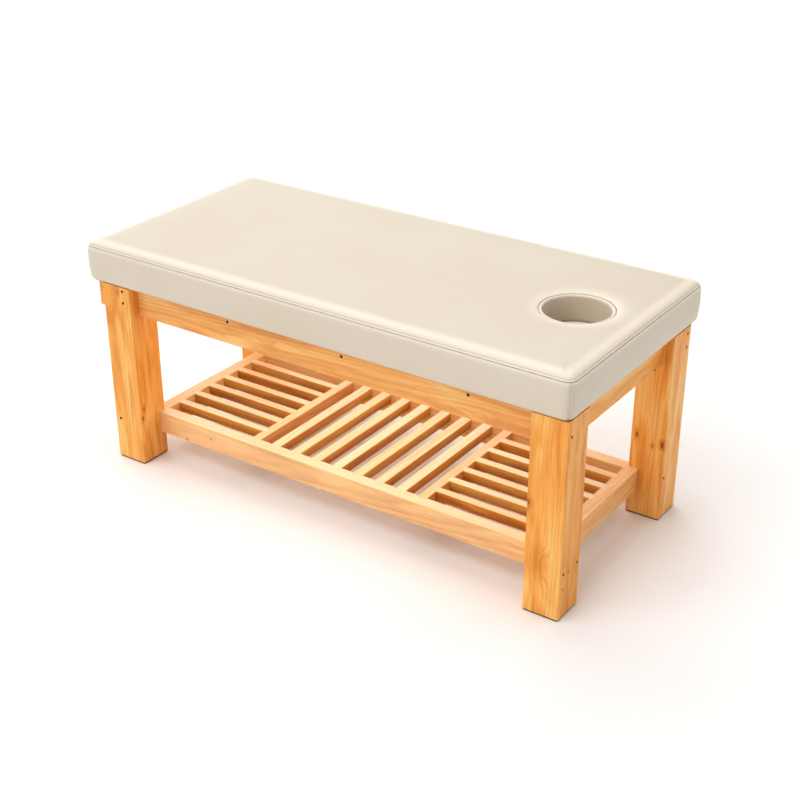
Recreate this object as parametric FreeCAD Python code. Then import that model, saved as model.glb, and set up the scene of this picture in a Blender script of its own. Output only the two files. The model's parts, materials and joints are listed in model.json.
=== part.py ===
import FreeCAD, Part
import math
import os
from FreeCAD import Vector

# Massage bed: a pine frame on four square legs with a slatted shelf below, and a loose
# upholstered mattress with a face hole near its head end.
# +X points to the head end, +Y away from the near long side, +Z up. Millimetres.
# The origin is on the floor, under the middle of the mattress.

# Mattress, outside
pad_length = 1800.0
pad_width = 840.0
pad_corner_radius = 30.0
pad_side_height = 118.0
pad_roll_height = 17.0
pad_roll_inset = 19.0
pad_crown_height = 3.0
pad_crown_inset = 76.0
pad_bottom_turn = 3.0
pad_side_swell = 2.0
pad_seam_pinch = 2.5

# How far the mattress overhangs the legs on each side
pad_overhang_head = 5.0
pad_overhang_foot = 61.0
pad_overhang_near = 5.0
pad_overhang_far = 51.0

# Mattress, inside
cover_thickness = 1.5
cover_clearance = 0.3
cover_flap_width = 45.0
board_thickness = 12.0

# Face hole: a wide well with a ledge all round its foot, and a narrower shaft down from there
hole_radius = 102.0
hole_margin = 212.0
hole_mouth_radius = 12.0
ledge_depth = 90.0
ledge_width = 30.0

# Legs and the height of the frame
frame_height = 650.0
leg_side = 118.0
leg_edge_radius = 4.0
foot_pad_thickness = 5.0
foot_pad_inset = 2.0

# Top rails and bearers
rail_height = 105.0
rail_thickness = 38.0
rail_edge_radius = 2.0
leg_cheek = 38.0
rail_overrun_foot = 56.0
head_rail_blind = 10.0
bearer_height = 60.0
bearer_thickness = 38.0
bearer_hole_clearance = 14.0
bearer_count = 3

# Shelf
shelf_top = 166.0
shelf_rail_height = 77.0
shelf_rail_thickness = 44.0
shelf_let_in_x = 35.0
shelf_let_in_y = 28.0
cross_rail_thickness = 32.0
foot_bay_length = 374.0
head_bay_length = 412.0
slat_height = 32.0
side_slat_width = 28.0
middle_slat_width = 36.0
side_slat_count = 6
middle_slat_count = 7
slat_edge_radius = 1.5
housing_depth = 8.0

# Screws
screw_head_radius = 5.0
screw_head_depth = 3.5
screw_shank_radius = 2.5
screw_length = 70.0
bearer_screw_length = 80.0
screw_sink = 0.5
screw_clearance = 0.2
screw_edge_distance = 22.0
side_screw_distance = 32.0
shelf_screw_distance = 12.0
shelf_screw_depth = 14.0
shelf_screw_grip = 40.0
plug_radius = 5.0
plug_depth = 10.0
plug_drop = 50.0
cut_overrun = 1.0

# Screws in the top rails: how far down the rail's height they enter, as shares
side_depth_shares = (0.13, 0.52)
end_depth_shares = (0.22, 0.66)
head_near_depth_shares = (0.5,)

# Faces of the frame, worked out from the sizes above
x_head = pad_length / 2 - pad_overhang_head
x_foot = -pad_length / 2 + pad_overhang_foot
y_near = -pad_width / 2 + pad_overhang_near
y_far = pad_width / 2 - pad_overhang_far
rail_bottom = frame_height - rail_height
shelf_bottom = shelf_top - shelf_rail_height
shelf_x0 = x_foot + leg_side - shelf_let_in_x
shelf_x1 = x_head - leg_side + shelf_let_in_x
shelf_y0 = y_near + leg_side - shelf_let_in_y
shelf_y1 = y_far - leg_side + shelf_let_in_y
shelf_inner_y0 = shelf_y0 + shelf_rail_thickness
shelf_inner_y1 = shelf_y1 - shelf_rail_thickness
foot_bay_x0 = shelf_x0 + shelf_rail_thickness
foot_bay_x1 = foot_bay_x0 + foot_bay_length
head_bay_x1 = shelf_x1 - shelf_rail_thickness
head_bay_x0 = head_bay_x1 - head_bay_length
middle_bay_x0 = foot_bay_x1 + cross_rail_thickness
middle_bay_x1 = head_bay_x0 - cross_rail_thickness

# Top rails: outer and inner faces
rail_near_y0 = y_near + leg_cheek
rail_near_y1 = rail_near_y0 + rail_thickness
rail_far_y1 = y_far - leg_cheek
rail_far_y0 = rail_far_y1 - rail_thickness
head_rail_x1 = x_head - leg_cheek
head_rail_x0 = head_rail_x1 - rail_thickness
foot_rail_x0 = x_foot + leg_cheek
foot_rail_x1 = foot_rail_x0 + rail_thickness

# Mattress levels
pad_bottom = frame_height
pad_seam = pad_bottom + pad_side_height
pad_rim = pad_seam + pad_roll_height
pad_top = pad_rim + pad_crown_height
board_bottom = pad_bottom + cover_thickness
board_top = board_bottom + board_thickness
hole_x = pad_length / 2 - hole_margin
liner_radius = hole_radius + cover_thickness
shaft_radius = hole_radius - ledge_width
shaft_liner_radius = shaft_radius + cover_thickness
ledge_z = pad_top - ledge_depth
board_inset = pad_bottom_turn + pad_side_swell + cover_thickness + cover_clearance
mouth_seam_radius = hole_radius + hole_mouth_radius


def block(x0, x1, y0, y1, z0, z1):
    """A box between two corners."""
    return Part.makeBox(x1 - x0, y1 - y0, z1 - z0, Vector(x0, y0, z0))


def runs_along(edge, direction):
    """Whether an edge of a stick runs along a direction, and not across it."""
    span = edge.Vertexes[-1].Point - edge.Vertexes[0].Point
    return abs(span.dot(direction)) > span.Length / 2


def eased(solid, radius, direction):
    """Rounds the straight edges of a stick that run along one direction."""
    return solid.makeFillet(radius, [edge for edge in solid.Edges if runs_along(edge, direction)])


def eased_top(solid, radius, direction):
    """Rounds only the upper two of the edges that run along one direction."""
    top = solid.BoundBox.ZMax
    middle = solid.BoundBox.Center.z
    upper = [edge for edge in solid.Edges
             if runs_along(edge, direction) and edge.CenterOfMass.z > (top + middle) / 2]
    return solid.makeFillet(radius, upper)


def save(name, solids):
    """Writes one node from one or more solids."""
    shape = solids[0] if len(solids) == 1 else Part.makeCompound(solids)
    shape.exportStep(os.path.join("parts", name + ".step"))


def screw(tip_direction, seat, length):
    """A countersunk screw: its head is just under the surface at seat."""
    base = seat + tip_direction * screw_sink
    head = Part.makeCone(screw_head_radius, screw_shank_radius, screw_head_depth, base, tip_direction)
    shank = Part.makeCylinder(screw_shank_radius, length, base, tip_direction)
    return head.fuse(shank).removeSplitter()


def screw_hole(tip_direction, seat, length):
    """The drilled and countersunk hole of a screw, a little wider than the screw."""
    base = seat + tip_direction * screw_sink
    wide = screw_head_radius + screw_clearance
    narrow = screw_shank_radius + screw_clearance
    sink = Part.makeCylinder(wide, screw_sink + cut_overrun, base, -tip_direction)
    head = Part.makeCone(wide, narrow, screw_head_depth, base, tip_direction)
    bore = Part.makeCylinder(narrow, length + screw_clearance, base, tip_direction)
    return sink.fuse([head, bore])


# Directions
to_head = Vector(1, 0, 0)
to_far = Vector(0, 1, 0)
up = Vector(0, 0, 1)

# Bearers: evenly spaced from the foot rail to the last one, which stays clear of the face hole
foot_rail_x = (foot_rail_x0 + foot_rail_x1) / 2
last_bearer_x = hole_x - hole_radius - bearer_hole_clearance - bearer_thickness / 2
bearer_spacing = (last_bearer_x - foot_rail_x) / bearer_count
bearer_x = [foot_rail_x + bearer_spacing * (number + 1) for number in range(bearer_count)]

# Screws: each entry says which way a screw points, where it enters and how long it is
screws = {"side_rail_screws": [], "end_rail_screws": [], "shelf_screws": [],
          "leg_screws": [], "bearer_screws": []}

# Side rails: a pair one above the other, through the outer cheeks of the foot legs
for depth_share in side_depth_shares:
    x = x_foot + leg_side - side_screw_distance
    z = frame_height - rail_height * depth_share
    screws["side_rail_screws"].append((to_far, Vector(x, y_near, z), screw_length))
    screws["side_rail_screws"].append((-to_far, Vector(x, y_far, z), screw_length))

# End rails: the head rail is held near its two ends, the foot rail inside the side rails
head_corners = ((y_near + screw_edge_distance, head_near_depth_shares),
                (y_far - screw_edge_distance, end_depth_shares))
for y, depth_shares in head_corners:
    for depth_share in depth_shares:
        z = frame_height - rail_height * depth_share
        screws["end_rail_screws"].append((-to_head, Vector(x_head, y, z), screw_length))
for y in (rail_near_y1 + screw_edge_distance, rail_far_y0 - screw_edge_distance):
    for depth_share in end_depth_shares:
        z = frame_height - rail_height * depth_share
        screws["end_rail_screws"].append((to_head, Vector(x_foot, y, z), screw_length))

# Shelf: one screw through each leg into the end of a long shelf rail
shelf_screw_z = shelf_top - shelf_screw_depth
shelf_screw_length = leg_side - shelf_let_in_x + shelf_screw_grip
for y in (shelf_y0 + shelf_screw_distance, shelf_y1 - shelf_screw_distance):
    screws["shelf_screws"].append((-to_head, Vector(x_head, y, shelf_screw_z), shelf_screw_length))
    screws["shelf_screws"].append((to_head, Vector(x_foot, y, shelf_screw_z), shelf_screw_length))

# Near legs: one screw each beside the outer corner, at the height of the shelf
head_leg_y = y_near + screw_edge_distance
screws["leg_screws"].append((-to_head, Vector(x_head, head_leg_y, shelf_screw_z), screw_length))
foot_leg_x = x_foot + screw_edge_distance
screws["leg_screws"].append((to_far, Vector(foot_leg_x, y_near, shelf_screw_z), screw_length))

# Bearers: screwed through the side rails
for x in bearer_x:
    z = frame_height - bearer_height / 2
    screws["bearer_screws"].append((to_far, Vector(x, rail_near_y0, z), bearer_screw_length))
    screws["bearer_screws"].append((-to_far, Vector(x, rail_far_y1, z), bearer_screw_length))

screw_holes = [screw_hole(*place) for group in screws.values() for place in group]


def drilled(solid):
    """Cuts every screw hole that meets the piece."""
    near = [hole for hole in screw_holes if hole.BoundBox.intersect(solid.BoundBox)]
    return solid.cut(near) if near else solid


def plug(radius, depth):
    """The wooden plug under the screw of the near head leg, or the bore that takes it."""
    seat = Vector(x_head - depth, head_leg_y, shelf_screw_z - plug_drop)
    return Part.makeCylinder(radius, depth, seat, to_head)


def housing(x0, x1, y0, y1, top, height):
    """The space that the end of a flush member takes in its neighbour, open at the top."""
    return block(x0, x1, y0, y1, top - height, top + cut_overrun)


def make_rails():
    """The two side rails, the two end rails and the bearers of the top frame."""
    near = block(x_foot - rail_overrun_foot, head_rail_x0, rail_near_y0, rail_near_y1,
                 rail_bottom, frame_height)
    far = block(x_foot - rail_overrun_foot, head_rail_x0, rail_far_y0, rail_far_y1,
                rail_bottom, frame_height)
    near = eased(near, rail_edge_radius, to_head)
    far = eased(far, rail_edge_radius, to_head)
    head = block(head_rail_x0, head_rail_x1, y_near + head_rail_blind, y_far - head_rail_blind,
                 rail_bottom, frame_height)
    foot = block(foot_rail_x0, foot_rail_x1, rail_near_y1, rail_far_y0, rail_bottom, frame_height)
    head = eased(head, rail_edge_radius, to_far)
    foot = eased(foot, rail_edge_radius, to_far)
    bearers = []
    for x in bearer_x:
        x0 = x - bearer_thickness / 2
        x1 = x + bearer_thickness / 2
        y0 = rail_near_y1 - housing_depth
        y1 = rail_far_y0 + housing_depth
        bearers.append(block(x0, x1, y0, y1, frame_height - bearer_height, frame_height))
        near = near.cut(housing(x0, x1, y0, rail_near_y1 + cut_overrun, frame_height, bearer_height))
        far = far.cut(housing(x0, x1, rail_far_y0 - cut_overrun, y1, frame_height, bearer_height))
    save("side_rail_near", [drilled(near)])
    save("side_rail_far", [drilled(far)])
    save("end_rail_head", [drilled(head)])
    save("end_rail_foot", [drilled(foot)])
    for number, bearer in enumerate(bearers, 1):
        save("deck_bearer_%d" % number, [drilled(bearer)])


def make_legs():
    """Square legs slotted for the top rails and notched at the inner corner for the shelf."""
    side_slots = [
        block(x_foot - rail_overrun_foot, head_rail_x0, rail_near_y0, rail_near_y1,
              rail_bottom, frame_height + cut_overrun),
        block(x_foot - rail_overrun_foot, head_rail_x0, rail_far_y0, rail_far_y1,
              rail_bottom, frame_height + cut_overrun)]
    end_slots = [
        block(head_rail_x0, head_rail_x1, y_near + head_rail_blind, y_far - head_rail_blind,
              rail_bottom, frame_height + cut_overrun),
        block(foot_rail_x0, foot_rail_x1, rail_near_y1, rail_far_y0,
              rail_bottom, frame_height + cut_overrun)]
    shelf_space = block(shelf_x0, shelf_x1, shelf_y0, shelf_y1, shelf_bottom, shelf_top)
    corners = {"foot_near": (x_foot, y_near), "head_near": (x_head - leg_side, y_near),
               "head_far": (x_head - leg_side, y_far - leg_side),
               "foot_far": (x_foot, y_far - leg_side)}
    for name, (x, y) in corners.items():
        leg = block(x, x + leg_side, y, y + leg_side, foot_pad_thickness, frame_height)
        leg = eased(leg, leg_edge_radius, up)
        leg = leg.cut(side_slots + end_slots + [shelf_space])
        if name == "head_near":
            leg = leg.cut(plug(plug_radius + screw_clearance, plug_depth))
        save("leg_" + name, [drilled(leg)])
        pad = block(x + foot_pad_inset, x + leg_side - foot_pad_inset,
                    y + foot_pad_inset, y + leg_side - foot_pad_inset, 0, foot_pad_thickness)
        save("foot_pad_" + name, [eased(pad, leg_edge_radius, up)])


def spaced(start, end, count, width):
    """Low and high sides of equal slats with equal slots, also at both ends."""
    slot = (end - start - count * width) / (count + 1)
    sides = []
    for number in range(count):
        low = start + slot + number * (width + slot)
        sides.append((low, low + width))
    return sides


def make_shelf():
    """The shelf: two long rails, two end rails, two cross rails and the slats of three bays."""
    z0 = shelf_bottom
    z1 = shelf_top
    near = block(shelf_x0, shelf_x1, shelf_y0, shelf_inner_y0, z0, z1)
    far = block(shelf_x0, shelf_x1, shelf_inner_y1, shelf_y1, z0, z1)
    near = eased(near, rail_edge_radius, to_head)
    far = eased(far, rail_edge_radius, to_head)
    y0 = shelf_inner_y0 - housing_depth
    y1 = shelf_inner_y1 + housing_depth
    across = {
        "shelf_end_rail_foot": (shelf_x0, foot_bay_x0),
        "shelf_cross_rail_foot": (foot_bay_x1, middle_bay_x0),
        "shelf_cross_rail_head": (middle_bay_x1, head_bay_x0),
        "shelf_end_rail_head": (head_bay_x1, shelf_x1)}
    rails = {}
    for name, (x0, x1) in across.items():
        rails[name] = block(x0, x1, y0, y1, z0, z1)
        near = near.cut(block(x0, x1, y0, shelf_inner_y0 + cut_overrun, z0, z1))
        far = far.cut(block(x0, x1, shelf_inner_y1 - cut_overrun, y1, z0, z1))

    # Middle bay: slats run across, housed in the long rails
    middle = spaced(middle_bay_x0, middle_bay_x1, middle_slat_count, middle_slat_width)
    for number, (x0, x1) in enumerate(middle, 1):
        slat = block(x0, x1, y0, y1, z1 - slat_height, z1)
        near = near.cut(housing(x0, x1, y0, shelf_inner_y0 + cut_overrun, z1, slat_height))
        far = far.cut(housing(x0, x1, shelf_inner_y1 - cut_overrun, y1, z1, slat_height))
        save("middle_slat_%d" % number, [eased_top(slat, slat_edge_radius, to_far)])

    # Side bays: slats run lengthways, housed in the end rails and the cross rails
    bays = {
        "foot_slat": (foot_bay_x0, foot_bay_x1, "shelf_end_rail_foot", "shelf_cross_rail_foot"),
        "head_slat": (head_bay_x0, head_bay_x1, "shelf_cross_rail_head", "shelf_end_rail_head")}
    rows = spaced(shelf_inner_y0, shelf_inner_y1, side_slat_count, side_slat_width)
    for bay, (x0, x1, left, right) in bays.items():
        for number, (low, high) in enumerate(rows, 1):
            slat = block(x0 - housing_depth, x1 + housing_depth, low, high, z1 - slat_height, z1)
            hollow = housing(x0 - housing_depth, x1 + housing_depth, low, high, z1, slat_height)
            rails[left] = rails[left].cut(hollow)
            rails[right] = rails[right].cut(hollow)
            save("%s_%d" % (bay, number), [eased_top(slat, slat_edge_radius, to_head)])

    save("shelf_rail_near", [drilled(near)])
    save("shelf_rail_far", [drilled(far)])
    for name, rail in rails.items():
        save(name, [drilled(rail)])


def make_screws():
    """Each group of like screws in one node."""
    for name, places in screws.items():
        save(name, [screw(*place) for place in places])
    save("leg_plug", [plug(plug_radius, plug_depth)])


def rounded_wire(inset, z):
    """A rectangle with rounded corners, drawn in from the mattress outline by inset."""
    a = pad_length / 2 - inset
    b = pad_width / 2 - inset
    r = pad_corner_radius ** 2 / (pad_corner_radius + inset)
    d = r * (1 - math.sqrt(0.5))
    p = [Vector(-a + r, -b, z), Vector(a - r, -b, z), Vector(a, -b + r, z), Vector(a, b - r, z),
         Vector(a - r, b, z), Vector(-a + r, b, z), Vector(-a, b - r, z), Vector(-a, -b + r, z)]
    m = [Vector(a - d, -b + d, z), Vector(a - d, b - d, z),
         Vector(-a + d, b - d, z), Vector(-a + d, -b + d, z)]
    edges = []
    for corner in range(4):
        start = p[2 * corner]
        turn = p[2 * corner + 1]
        after = p[(2 * corner + 2) % 8]
        edges.append(Part.makeLine(start, turn))
        edges.append(Part.Arc(turn, m[corner], after).toShape())
    return Part.Wire(edges)


# The mattress outline from the base up, as shares. On the side: of its height, and of how
# far it draws in. On the roll above the seam: of how far it draws in, and of its height.
side_shares = [(0.04, 0.7), (0.09, 0.3), (0.35, 0.0), (0.65, 0.0), (0.9, 0.3), (0.97, 0.7)]
roll_shares = [(0.12, 0.16), (0.3, 0.42), (0.62, 0.74), (1.0, 1.0)]


def outline_levels(skin):
    """Insets and heights of the mattress, with everything drawn in by a skin thickness."""
    levels = [(pad_bottom_turn + pad_side_swell, pad_bottom)]
    for height_share, inset_share in side_shares:
        level = pad_bottom + pad_side_height * height_share
        levels.append((pad_side_swell * inset_share, level))
    levels.append((pad_seam_pinch, pad_seam))
    for inset_share, height_share in roll_shares:
        level = pad_seam + pad_roll_height * height_share
        levels.append((pad_roll_inset * inset_share, level))
    crown_step = (pad_crown_inset - pad_roll_inset) / 3
    levels.append((pad_roll_inset + crown_step, pad_rim + pad_crown_height / 2))
    levels.append((pad_crown_inset, pad_top))
    drawn = []
    for inset, z in levels:
        drawn.append((inset + skin, z - skin if z > pad_seam else z))
    return drawn


def pad_solid(skin, floor):
    """The mattress shape drawn in by a skin, and cut off below a level."""
    wires = [rounded_wire(inset, z) for inset, z in outline_levels(skin)]
    solid = Part.makeLoft(wires, True, True)
    if floor > pad_bottom:
        a = pad_length / 2
        b = pad_width / 2
        solid = solid.cut(block(-a, a, -b, b, pad_bottom - cut_overrun, floor))
    return solid


def revolved(points_and_arcs):
    """Turns a closed profile of lines and arcs about the face hole's axis."""
    face = Part.Face(Part.Wire(points_and_arcs))
    return face.revolve(Vector(hole_x, 0, 0), up, 360)


def mouth_profile(shaft, wall, seam, bottom, ledge, top):
    """Profile from the axis: up a shaft, out over a ledge, up a wall that rolls out to a seam."""
    def at(r, z):
        return Vector(hole_x + r, 0, z)
    roll = seam - wall
    low = top - roll
    mid = at(seam - roll * math.sqrt(0.5), low + roll * math.sqrt(0.5))
    return [Part.makeLine(at(0, bottom), at(shaft, bottom)),
            Part.makeLine(at(shaft, bottom), at(shaft, ledge)),
            Part.makeLine(at(shaft, ledge), at(wall, ledge)),
            Part.makeLine(at(wall, ledge), at(wall, low)),
            Part.Arc(at(wall, low), mid, at(seam, top)).toShape(),
            Part.makeLine(at(seam, top), at(seam, top + cut_overrun)),
            Part.makeLine(at(seam, top + cut_overrun), at(0, top + cut_overrun)),
            Part.makeLine(at(0, top + cut_overrun), at(0, bottom))]


def make_mattress():
    """Base board, foam core and the sewn cover: top panel, border and the hole's lining."""
    a = pad_length / 2
    b = pad_width / 2
    seam = mouth_seam_radius
    skin_top = pad_top - cover_thickness
    space = revolved(mouth_profile(shaft_radius, hole_radius, seam, pad_bottom, ledge_z, pad_top))
    behind = revolved(mouth_profile(shaft_liner_radius, liner_radius, seam, pad_bottom,
                                    ledge_z - cover_thickness, skin_top))
    wide = liner_radius + cover_clearance
    narrow = shaft_liner_radius + cover_clearance
    foam_ledge = ledge_z - cover_thickness - cover_clearance
    foam_hole = revolved(mouth_profile(narrow, wide, seam, pad_bottom - cut_overrun, foam_ledge,
                                       skin_top - cover_clearance))

    lining = behind.cut(space)
    drop = block(-a, a, -b, b, skin_top, pad_top + 2 * cut_overrun)
    collar = Part.makeCylinder(seam, cover_thickness, Vector(hole_x, 0, skin_top))
    lining = lining.cut(drop).fuse(collar.cut(space)).removeSplitter()
    save("cover_hole_lining", [lining])

    foam = pad_solid(cover_thickness + cover_clearance, board_top).cut(foam_hole)
    save("foam_core", [foam])

    board = block(-a + board_inset, a - board_inset, -b + board_inset, b - board_inset,
                  board_bottom, board_top)
    board = eased(board, pad_corner_radius - board_inset, up)
    bore = Part.makeCylinder(narrow, board_thickness + 2 * cut_overrun,
                             Vector(hole_x, 0, board_bottom - cut_overrun))
    save("base_board", [board.cut(bore)])

    skin = pad_solid(0, pad_bottom).cut(pad_solid(cover_thickness, board_bottom))
    flap_a = a - cover_flap_width
    flap_b = b - cover_flap_width
    opening = block(-flap_a, flap_a, -flap_b, flap_b, pad_bottom - cut_overrun, board_bottom)
    below = block(-a, a, -b, b, pad_bottom - cut_overrun, pad_seam)
    top = skin.cut(below)
    mouth = Part.makeCylinder(seam + cover_clearance, pad_top,
                              Vector(hole_x, 0, pad_seam))
    save("cover_top_panel", [top.cut(mouth)])
    save("cover_border", [skin.common(below).cut(opening)])


os.makedirs("parts", exist_ok=True)
make_rails()
make_legs()
make_shelf()
make_screws()
make_mattress()
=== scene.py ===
import json
import math
from functools import partial

import bmesh
import bpy
import numpy as np
from bpy.props import FloatProperty, FloatVectorProperty, PointerProperty
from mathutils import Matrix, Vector
from mathutils.bvhtree import BVHTree


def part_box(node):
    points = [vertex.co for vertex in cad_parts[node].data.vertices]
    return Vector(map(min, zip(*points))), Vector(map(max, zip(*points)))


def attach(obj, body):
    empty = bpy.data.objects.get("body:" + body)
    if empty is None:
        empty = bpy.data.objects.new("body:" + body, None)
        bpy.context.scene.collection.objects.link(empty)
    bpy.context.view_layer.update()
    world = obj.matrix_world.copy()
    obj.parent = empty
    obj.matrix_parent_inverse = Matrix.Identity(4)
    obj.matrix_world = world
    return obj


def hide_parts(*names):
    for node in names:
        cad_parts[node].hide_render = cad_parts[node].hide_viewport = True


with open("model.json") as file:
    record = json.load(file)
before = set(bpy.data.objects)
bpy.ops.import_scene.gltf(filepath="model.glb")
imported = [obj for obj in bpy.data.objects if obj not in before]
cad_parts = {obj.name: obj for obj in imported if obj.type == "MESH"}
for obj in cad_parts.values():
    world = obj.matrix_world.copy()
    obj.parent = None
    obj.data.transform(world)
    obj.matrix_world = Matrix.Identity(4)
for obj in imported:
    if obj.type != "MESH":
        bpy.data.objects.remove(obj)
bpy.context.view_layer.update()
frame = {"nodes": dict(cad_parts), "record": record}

bl_info = {
    "name": "Massage bed",
    "version": (1, 0, 0),
    "blender": (4, 5, 0),
    "location": "3D View > Sidebar > Massage bed",
    "description": "Finishes a pine massage bed: boards, screws, mattress, stitching and stage",
    "category": "Add Mesh",
}

MM = 0.001


def linear(code):
    """Turns an sRGB hex colour into the linear values that shaders take."""
    parts = np.array([int(code[k:k + 2], 16) for k in (1, 3, 5)]) / 255
    values = np.where(parts <= 0.04045, parts / 12.92, ((parts + 0.055) / 1.055) ** 2.4)
    return tuple(values.tolist())


def number(name, description, default, **more):
    """A number that a user can change."""
    return FloatProperty(name=name, description=description, default=default, **more)


def length(name, description, default, largest=1.0):
    """A size in metres that a user can change."""
    return number(name, description, default, min=0.0, max=largest, precision=5, unit="LENGTH")


def colour(name, description, code):
    """A colour that a user can change, given as sRGB hex."""
    return FloatVectorProperty(name=name, description=description, default=linear(code),
                               min=0.0, max=1.0, size=3, subtype="COLOR")


class PineSettings(bpy.types.PropertyGroup):
    """Growth and varnish of the pine boards."""
    ring_spacing: length("Ring spacing", "Width of one year's growth", 9 * MM)
    wander: length("Wander", "How far a growth line strays sideways", 9 * MM)
    fibre_width: length("Fibre width", "Width of the fine streaks along the grain", 1.6 * MM)
    arris_width: length("Arris width", "Width of the rubbed strip along each edge", 5 * MM)
    grain_depth: length("Grain depth", "Height of the grain in the varnish", 0.25 * MM)
    sapwood: colour("Sapwood", "The palest boards, cut near the bark", "#FFE6C0")
    # Painted shade: the first tint darkens the side faces of slats and cross rails, and the second
    # darkens them more towards their lower edge
    sawn: colour("Sawn sides", "Tint of the slats' sawn sides, which drink varnish", "#F6E096")
    painted_low_shade: colour("Pooled varnish", "Tint low on the sawn sides, where it gathers", "#B08434")
    pale: colour("Pale", "Early wood where the board is light", "#FFCB78")
    honey: colour("Honey", "Early wood of most of the board", "#F9AC48")
    amber: colour("Amber", "Early wood where resin has gathered", "#E28820")
    late: colour("Late wood", "The darker line that ends each year", "#C97614")
    knot: colour("Knot", "Heart of a knot", "#713411")
    end: colour("End grain", "Cut ends, which drink more varnish", "#C97F38")


class FixingSettings(bpy.types.PropertyGroup):
    """Screws, plug and foot pads."""
    recess_width: length("Recess width", "Width of one arm of the cross recess", 1.5 * MM)
    recess_depth: length("Recess depth", "Depth of the cross recess", 1.8 * MM)
    steel: colour("Screw steel", "Phosphated screw steel", "#33363A")
    rubber: colour("Foot pad", "Brown rubber under the legs", "#48200E")


class CoverSettings(bpy.types.PropertyGroup):
    """Shape and finish of the sewn mattress cover."""
    corner_radius: length("Corner radius", "Radius of the mattress corners in plan", 30 * MM)
    roll_width: length("Roll width", "How far the top edge rolls inwards", 38 * MM)
    crown: length("Crown", "Rise of the top from its edge to its middle", 3 * MM)
    bulge: length("Bulge", "How far the border stands out at half its height", 3 * MM)
    bottom_turn: length("Bottom turn", "Radius of the turned lower edge", 13 * MM)
    seam_depth: length("Seam depth", "How deep the seams are drawn in", 2.5 * MM)
    flap_width: length("Flap width", "Cover that is turned in under the board", 45 * MM)
    hole_dip: length("Hole dip", "How far the top is drawn down at the face hole", 3 * MM)
    ledge_depth: length("Ledge depth", "From the top down to the ledge in the hole", 90 * MM)
    ledge_width: length("Ledge width", "How far the ledge stands in from the wall", 30 * MM)
    swell: length("Swell", "The most that the foam pushes the cover out", 3 * MM)
    pucker: length("Pucker", "Height of the small puckers beside the seams", 0.45 * MM)
    thickness: length("Thickness", "Thickness of the vinyl", 1.2 * MM)
    grain_size: length("Grain size", "Width of one pebble of the embossed grain", 1.5 * MM)
    pressure: number("Pressure", "Push of the foam in the simulation", 4.0)
    vinyl: colour("Vinyl", "Cream upholstery vinyl", "#DBD0C0")
    vinyl_warm: colour("Warm vinyl", "The vinyl where it is a little yellower", "#D9CDBA")
    # Painted highlight: this paler colour goes where the vinyl is stretched over the roll, beside
    # the seams, round the face hole and on its ledge
    drawn: colour("Drawn vinyl", "The vinyl where it is drawn tight over an edge", "#EFE4D5")
    # Painted shade: this darker colour goes in the seams and down the lower wall of the face hole
    painted_seam_shade: colour("Seam", "The folded edges down in a seam", "#9A8871")


class StitchSettings(bpy.types.PropertyGroup):
    """Topstitching along the seams."""
    pitch: length("Pitch", "From one stitch to the next", 7 * MM)
    stitch: length("Stitch length", "Thread that shows of each stitch", 5.4 * MM)
    thread: length("Thread", "Diameter of the thread", 0.9 * MM)
    edge: length("Edge distance", "From a seam to its topstitch", 8 * MM)
    yarn: colour("Yarn", "Polyester thread", "#CDB995")


class StageSettings(bpy.types.PropertyGroup):
    """Camera, floor and lights."""
    lens: number("Lens", "Focal length in millimetres", 64.14)
    azimuth: number("Azimuth", "Turn of the view about the bed", math.radians(34.52),
                    subtype="ANGLE")
    elevation: number("Elevation", "Height of the view above level", math.radians(27.19),
                      subtype="ANGLE")
    place: FloatVectorProperty(name="Place", description="Where the camera stands", size=3,
                               default=(2.4239, -3.4357, 2.4435), unit="LENGTH")
    floor_width: length("Floor width", "Side of the square floor", 60.0, 100.0)
    floor: colour("Floor", "Matt white floor", "#F4F4F4")
    sky: number("Sky", "Strength of the even light", 0.27)
    above: number("Above", "Strength of the soft light from above", 1.48)
    behind: number("Behind", "Strength of the soft light from behind", 0.95)
    rim: number("Rim", "Strength of the light behind the head end", 0.4)
    rim_colour: colour("Rim colour", "Warm light on the head side", "#FFF0DC")
    front: number("Front", "Strength of the soft light from the front", 0.92)
    under: number("Under", "Watts of the soft panel above the shelf", 3.2)
    gamma: number("Gamma", "Below 1, shade is deeper and more saturated", 0.88)


def settings(group):
    """The values of one group of settings on the scene."""
    return getattr(bpy.context.scene, group)


def fill(tree, sockets, values):
    """Links or sets sockets by name or number, and gives a colour its full opacity."""
    for key, value in values.items():
        if isinstance(value, bpy.types.NodeSocket):
            tree.links.new(value, sockets[key])
        else:
            sockets[key].default_value = (*value, 1.0) if sockets[key].type == "RGBA" else value


def add_node(tree, kind, *values, out=0, **named):
    """Adds a node with its settings and links, and returns one of its outputs.

    The kind may name an operation too. The values fill the node's inputs in order. A name with
    a capital letter is an input as well, with underscores for its spaces, and any other name
    is a setting."""
    kind, _, operation = kind.partition(" ")
    node = tree.nodes.new("ShaderNode" + kind)
    if operation:
        node.operation = operation
    inputs = dict(enumerate(values))
    for name, value in named.items():
        if name[0].isupper():
            inputs[name.replace("_", " ")] = value
        else:
            setattr(node, name, value)
    fill(tree, node.inputs, inputs)
    return node.outputs[out] if len(node.outputs) else None


def node_group(name, inputs, outputs):
    """A node group's tree, what adds nodes to it, and its sockets, which are named by type."""
    tree = bpy.data.node_groups.new(name, "ShaderNodeTree")
    for side, sockets in (("INPUT", inputs), ("OUTPUT", outputs)):
        for kind, titles in sockets.items():
            for title in titles:
                tree.interface.new_socket(title, in_out=side, socket_type="NodeSocket" + kind)
    given, out = (tree.nodes.new(kind) for kind in ("NodeGroupInput", "NodeGroupOutput"))
    return tree, partial(add_node, tree), given.outputs, out.inputs


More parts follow.
